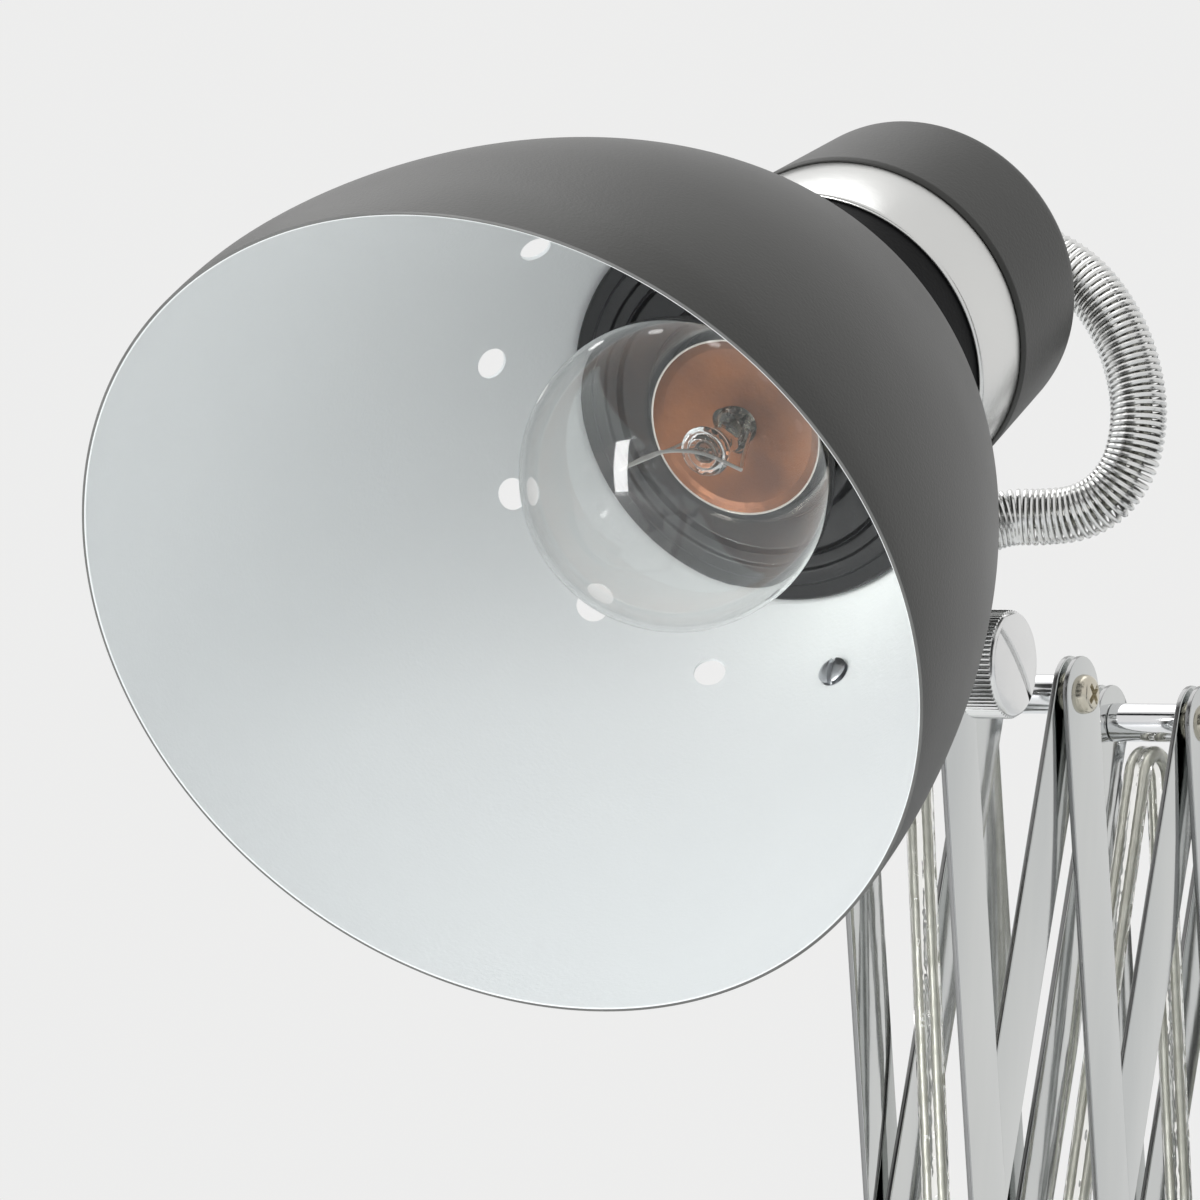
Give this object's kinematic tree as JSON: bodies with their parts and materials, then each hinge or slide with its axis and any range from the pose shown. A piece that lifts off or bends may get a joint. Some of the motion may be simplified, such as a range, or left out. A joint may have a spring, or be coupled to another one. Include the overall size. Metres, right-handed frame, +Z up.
{
  "type": "accordion desk lamp",
  "caption": "Desk lamp with a domed metal shade on a lattice arm of crossed chromed bars that folds like an accordion, held by a swivelling desk clamp.",
  "frame": {"origin": "desk top under the middle of the upper jaw, on the column's axis", "axes": "+Z up; the arm reaches out over the desk towards -Y; the cross tubes lie along X"},
  "size_m": [0.2452, 0.5183, 0.5167],
  "materials": {
    "chrome": "mirror-bright plated steel",
    "grey_paint": "matt warm dark grey stove enamel outside, white inside the shade",
    "clamp_paint": "matt warm dark grey enamel on cast metal",
    "rubber": "matt",
    "black_plastic": "satin moulded",
    "zinc": "zinc plated",
    "nickel": "warm nickel plate",
    "white_plastic": "satin",
    "brass": "turned",
    "spring_steel": "close-wound plated wire",
    "bulb_glass": "clear blown glass",
    "aluminium": "pressed thread",
    "copper": "copper-coloured sheet",
    "wire": "drawn wire",
    "clear_plastic": "clear moulded",
    "clear_pvc": "transparent, slightly yellow, over tinned strands"
  },
  "bodies": {
    "clamp": {"clamp_frame": "clamp_paint", "jaw_pad": "rubber", "column": "chrome", "column_cap": "black_plastic", "cord_lead": "clear_pvc", "cord_coil": "clear_pvc", "cord_tail": "clear_pvc", "switch_shell": "clear_plastic", "plug": "clear_plastic"},
    "shoe": {"pressure_pad": "rubber"},
    "screw": {"clamp_screw": "zinc", "clamp_handle": "zinc"},
    "bracket": {"bracket": "grey_paint", "bracket_screws": "nickel", "bracket_spacers": "chrome", "rear_tube": "chrome", "cord_clip": "black_plastic", "cord_bracket": "clear_pvc"},
    "inner_4": {"inner_bars_4": "chrome", "cord_run_3": "clear_pvc"},
    "outer_3": {"outer_bars_3": "chrome", "cross_tubes_3": "chrome", "pivot_screws_3": "nickel", "slide_bushes": "white_plastic"},
    "inner_3": {"inner_bars_3": "chrome"},
    "outer_2": {"outer_bars_2": "chrome", "cross_tubes_2": "chrome", "pivot_screws_2": "nickel", "cord_run_2": "clear_pvc"},
    "inner_2": {"inner_bars_2": "chrome", "cord_run_1": "clear_pvc"},
    "outer_1": {"outer_bars_1": "chrome", "cross_tubes_1": "chrome", "pivot_screws_1": "nickel"},
    "inner_1": {"inner_bars_1": "chrome", "front_tube": "chrome", "front_screws": "nickel"},
    "outer_0": {"outer_bars_0": "chrome", "cross_tubes_0": "chrome", "pivot_screws_0": "nickel", "cord_run_0": "clear_pvc"},
    "head": {"shade": "grey_paint", "shade_ring": "black_plastic", "lampholder": "black_plastic", "collar": "chrome", "cap": "grey_paint", "nipple": "brass", "ferrule": "chrome", "conduit": "spring_steel", "cord_head": "clear_pvc", "bulb_glass": "bulb_glass", "bulb_base": "aluminium", "bulb_stem": "bulb_glass", "heat_shield": "copper", "filament": "wire", "head_strap": "chrome", "strap_screw": "chrome"},
    "thumb": {"thumb_screw": "chrome"},
    "rocker": {"switch_rocker": "white_plastic"}
  },
  "joints": [
    {"name": "clamp_travel", "type": "slide", "parent": "clamp", "child": "shoe", "axis": [0, 0, 1], "range_m": [-0.01, 0.016]},
    {"name": "clamp_turn", "type": "hinge", "parent": "shoe", "child": "screw", "pos_m": [0, -0.022, -0.06], "axis": [0, 0, 1], "range_deg": [-1800, 2880]},
    {"name": "swivel", "type": "hinge", "parent": "clamp", "child": "bracket", "pos_m": [0, 0, 0.2], "axis": [0, 0, 1], "range_deg": [-90, 90], "deforming": ["cord_lead"]},
    {"name": "arm_fold", "type": "hinge", "parent": "bracket", "child": "inner_4", "pos_m": [0, -0.026, 0.3], "axis": [-1, 0, 0], "range_deg": [-10, 27], "deforming": ["cord_run_3", "cord_bracket"]},
    {"name": "crossing_3", "type": "hinge", "parent": "inner_4", "child": "outer_3", "pos_m": [0, -0.05654, 0.18602], "axis": [-1, 0, 0], "range_deg": [-54, 20]},
    {"name": "top_pivot_3", "type": "hinge", "parent": "outer_3", "child": "inner_3", "pos_m": [0, -0.08708, 0.3], "axis": [-1, 0, 0], "range_deg": [-20, 54]},
    {"name": "crossing_2", "type": "hinge", "parent": "inner_3", "child": "outer_2", "pos_m": [0, -0.11762, 0.18602], "axis": [-1, 0, 0], "range_deg": [-54, 20], "deforming": ["cord_run_2"]},
    {"name": "top_pivot_2", "type": "hinge", "parent": "outer_2", "child": "inner_2", "pos_m": [0, -0.14816, 0.3], "axis": [-1, 0, 0], "range_deg": [-20, 54], "deforming": ["cord_run_1"]},
    {"name": "crossing_1", "type": "hinge", "parent": "inner_2", "child": "outer_1", "pos_m": [0, -0.1787, 0.18602], "axis": [-1, 0, 0], "range_deg": [-54, 20]},
    {"name": "top_pivot_1", "type": "hinge", "parent": "outer_1", "child": "inner_1", "pos_m": [0, -0.20924, 0.3], "axis": [-1, 0, 0], "range_deg": [-20, 54]},
    {"name": "crossing_0", "type": "hinge", "parent": "inner_1", "child": "outer_0", "pos_m": [0, -0.23978, 0.18602], "axis": [-1, 0, 0], "range_deg": [-54, 20], "deforming": ["cord_run_0"]},
    {"name": "head_tilt", "type": "hinge", "parent": "outer_0", "child": "head", "pos_m": [0, -0.27032, 0.3], "axis": [1, 0, 0], "range_deg": [-35, 30], "deforming": ["conduit", "cord_head"]},
    {"name": "thumb_turn", "type": "hinge", "parent": "outer_0", "child": "thumb", "pos_m": [0, -0.27032, 0.3], "axis": [1, 0, 0], "range_deg": [0, 360]},
    {"name": "switch_rock", "type": "hinge", "parent": "clamp", "child": "rocker", "pos_m": [0.099, -0.0154, 0.008], "axis": [0, 1, 0], "range_deg": [0, 16]}
  ],
  "couplings": [
    {"joint": "clamp_travel", "follows": "clamp_turn", "m_per_rad": 0.00031831},
    {"joint": "crossing_3", "follows": "arm_fold", "ratio": -2},
    {"joint": "top_pivot_3", "follows": "arm_fold", "ratio": 2},
    {"joint": "crossing_2", "follows": "arm_fold", "ratio": -2},
    {"joint": "top_pivot_2", "follows": "arm_fold", "ratio": 2},
    {"joint": "crossing_1", "follows": "arm_fold", "ratio": -2},
    {"joint": "top_pivot_1", "follows": "arm_fold", "ratio": 2},
    {"joint": "crossing_0", "follows": "arm_fold", "ratio": -2}
  ]
}
